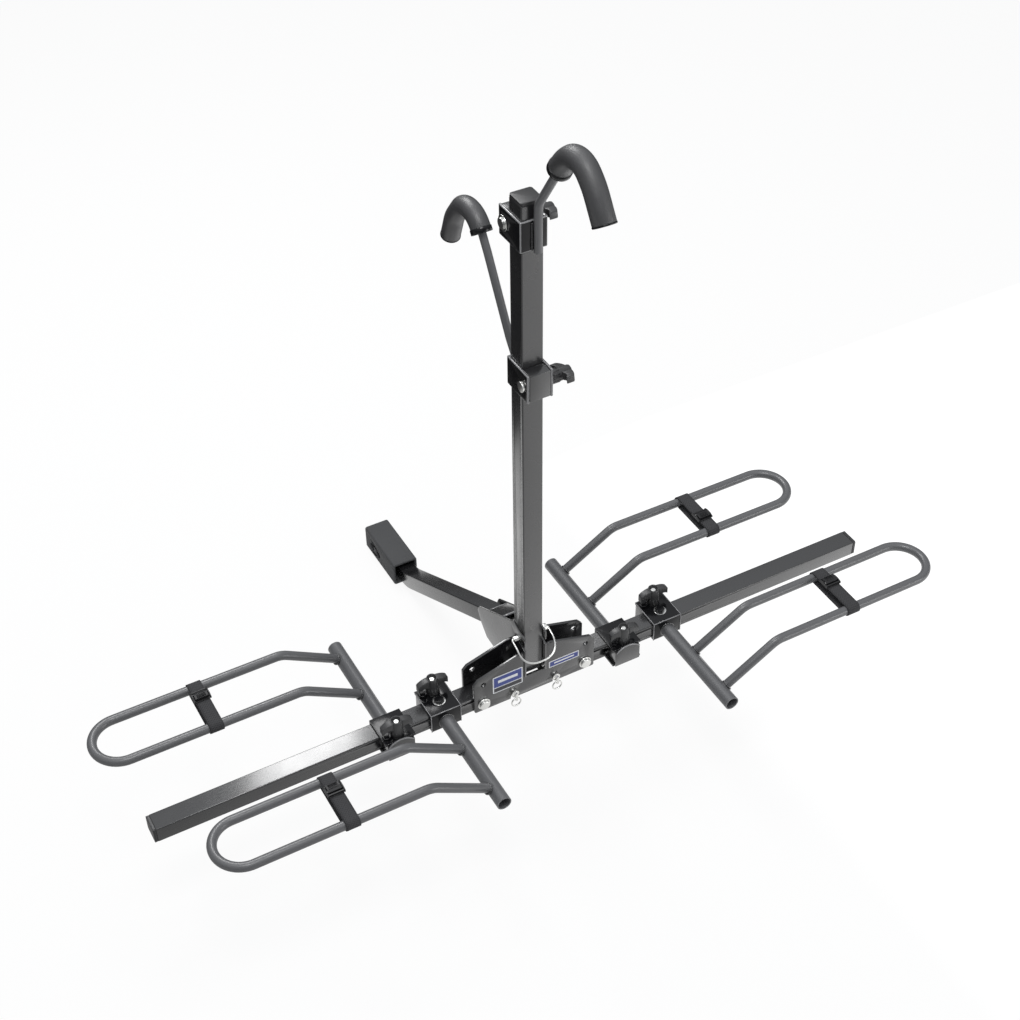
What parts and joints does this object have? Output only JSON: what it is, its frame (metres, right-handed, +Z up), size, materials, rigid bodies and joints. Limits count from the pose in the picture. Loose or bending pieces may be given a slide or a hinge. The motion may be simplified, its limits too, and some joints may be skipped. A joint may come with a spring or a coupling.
{
  "type": "hitch bike rack",
  "caption": "Hitch-mounted bicycle rack with a fold-down mast, foam frame hooks, folding arms and adjustable wheel hoops with straps.",
  "frame": {"origin": "centre line of the hitch-pin hole at the middle of the shank", "axes": "+X along the crossbar to the right, +Y into the vehicle's receiver, +Z up the mast"},
  "size_m": [1.4496, 0.8406, 1.2577],
  "materials": {
    "frame_paint": "satin",
    "clamp_paint": "gloss",
    "sleeve_paint": "satin",
    "zinc": "satin",
    "plastic": "satin",
    "knob_plastic": "matte",
    "webbing": "matte",
    "foam": "matte"
  },
  "bodies": {
    "frame": {"shank_tube": "frame_paint", "adapter_sleeve": "sleeve_paint", "gussets": "frame_paint", "tie_plate": "frame_paint", "front_plate": "frame_paint", "rear_plate": "frame_paint", "arm_pivot_bolts": "zinc", "mast_pivot_bolt": "zinc"},
    "mast": {"mast_tube": "frame_paint", "mast_cap": "plastic", "mast_lock_pin": "zinc"},
    "bail": {"wire_bail": "zinc"},
    "left_arm": {"left_arm_tube": "frame_paint", "left_arm_end_cap": "plastic"},
    "left_arm_pin": {"left_arm_lock_pin": "zinc"},
    "left_pin_ring": {"left_arm_pin_ring": "zinc"},
    "right_arm": {"right_arm_tube": "frame_paint", "right_arm_end_cap": "plastic"},
    "right_arm_pin": {"right_arm_lock_pin": "zinc"},
    "right_pin_ring": {"right_arm_pin_ring": "zinc"},
    "left_far_hoop": {"left_far_bracket": "clamp_paint", "left_far_jaw": "frame_paint", "left_far_clamp_bolt": "zinc", "left_far_loop_rod": "frame_paint", "left_far_strap": "webbing", "left_far_buckle": "plastic"},
    "left_far_tee_knob": {"left_far_knob": "knob_plastic"},
    "left_near_hoop": {"left_near_bracket": "clamp_paint", "left_near_jaw": "frame_paint", "left_near_clamp_bolt": "zinc", "left_near_loop_rod": "frame_paint", "left_near_strap": "webbing", "left_near_buckle": "plastic"},
    "left_near_tee_knob": {"left_near_knob": "knob_plastic"},
    "right_near_hoop": {"right_near_bracket": "clamp_paint", "right_near_jaw": "frame_paint", "right_near_clamp_bolt": "zinc", "right_near_loop_rod": "frame_paint", "right_near_strap": "webbing", "right_near_buckle": "plastic"},
    "right_near_tee_knob": {"right_near_knob": "knob_plastic"},
    "right_far_hoop": {"right_far_bracket": "clamp_paint", "right_far_jaw": "frame_paint", "right_far_clamp_bolt": "zinc", "right_far_loop_rod": "frame_paint", "right_far_strap": "webbing", "right_far_buckle": "plastic"},
    "right_far_tee_knob": {"right_far_knob": "knob_plastic"},
    "upper_hook": {"upper_hook_bracket": "clamp_paint", "upper_hook_jaw": "frame_paint", "upper_hook_clamp_bolt": "zinc", "upper_hook_rod": "frame_paint", "upper_hook_foam": "foam"},
    "upper_hook_tee_knob": {"upper_hook_knob": "knob_plastic"},
    "lower_hook": {"lower_hook_bracket": "clamp_paint", "lower_hook_jaw": "frame_paint", "lower_hook_clamp_bolt": "zinc", "lower_hook_rod": "frame_paint", "lower_hook_foam": "foam"},
    "lower_hook_tee_knob": {"lower_hook_knob": "knob_plastic"}
  },
  "joints": [
    {"name": "mast_fold", "type": "hinge", "parent": "frame", "child": "mast", "pos_m": [0, -0.587, 0.206], "axis": [1, 0, 0], "range_deg": [0, 90]},
    {"name": "bail_swing", "type": "hinge", "parent": "mast", "child": "bail", "pos_m": [0, -0.587, 0.26], "axis": [-1, 0, 0], "range_deg": [0, 95]},
    {"name": "left_arm_fold", "type": "hinge", "parent": "frame", "child": "left_arm", "pos_m": [-0.0985, -0.587, 0.162], "axis": [0, 1, 0], "range_deg": [0, 34]},
    {"name": "left_arm_pin_pull", "type": "slide", "parent": "left_arm", "child": "left_arm_pin", "axis": [0, -1, 0], "range_m": [0, 0.06]},
    {"name": "left_pin_ring_swing", "type": "hinge", "parent": "left_arm_pin", "child": "left_pin_ring", "pos_m": [-0.04, -0.6163, 0.1498], "axis": [-1, 0, 0], "range_deg": [0, 100]},
    {"name": "right_arm_fold", "type": "hinge", "parent": "frame", "child": "right_arm", "pos_m": [0.0985, -0.587, 0.162], "axis": [0, -1, 0], "range_deg": [0, 34]},
    {"name": "right_arm_pin_pull", "type": "slide", "parent": "right_arm", "child": "right_arm_pin", "axis": [0, -1, 0], "range_m": [0, 0.06]},
    {"name": "right_pin_ring_swing", "type": "hinge", "parent": "right_arm_pin", "child": "right_pin_ring", "pos_m": [0.04, -0.6163, 0.1498], "axis": [-1, 0, 0], "range_deg": [0, 100]},
    {"name": "left_far_slide", "type": "slide", "parent": "left_arm", "child": "left_far_hoop", "axis": [-1, 0, 0], "range_m": [0, 0.35]},
    {"name": "left_far_knob_turn", "type": "hinge", "parent": "left_far_hoop", "child": "left_far_tee_knob", "pos_m": [-0.262, -0.6145, 0.202], "axis": [0, 0, 1], "continuous": true},
    {"name": "left_near_slide", "type": "slide", "parent": "left_arm", "child": "left_near_hoop", "axis": [-1, 0, 0], "range_m": [-0.024, 0.036]},
    {"name": "left_near_knob_turn", "type": "hinge", "parent": "left_near_hoop", "child": "left_near_tee_knob", "pos_m": [-0.169, -0.5595, 0.202], "axis": [0, 0, 1], "continuous": true},
    {"name": "right_near_slide", "type": "slide", "parent": "right_arm", "child": "right_near_hoop", "axis": [1, 0, 0], "range_m": [0, 0.35]},
    {"name": "right_near_knob_turn", "type": "hinge", "parent": "right_near_hoop", "child": "right_near_tee_knob", "pos_m": [0.267, -0.5595, 0.202], "axis": [0, 0, 1], "continuous": true},
    {"name": "right_far_slide", "type": "slide", "parent": "right_arm", "child": "right_far_hoop", "axis": [1, 0, 0], "range_m": [-0.024, 0.036]},
    {"name": "right_far_knob_turn", "type": "hinge", "parent": "right_far_hoop", "child": "right_far_tee_knob", "pos_m": [0.172, -0.6145, 0.202], "axis": [0, 0, 1], "continuous": true},
    {"name": "upper_hook_slide", "type": "slide", "parent": "mast", "child": "upper_hook", "axis": [0, 0, 1], "range_m": [-0.14, 0.01]},
    {"name": "upper_hook_knob_turn", "type": "hinge", "parent": "upper_hook", "child": "upper_hook_tee_knob", "pos_m": [0.04, -0.5605, 1.0505], "axis": [1, 0, 0], "continuous": true},
    {"name": "lower_hook_slide", "type": "slide", "parent": "mast", "child": "lower_hook", "axis": [0, 0, 1], "range_m": [-0.4, 0.02]},
    {"name": "lower_hook_knob_turn", "type": "hinge", "parent": "lower_hook", "child": "lower_hook_tee_knob", "pos_m": [0.04, -0.6135, 0.804], "axis": [1, 0, 0], "continuous": true}
  ]
}
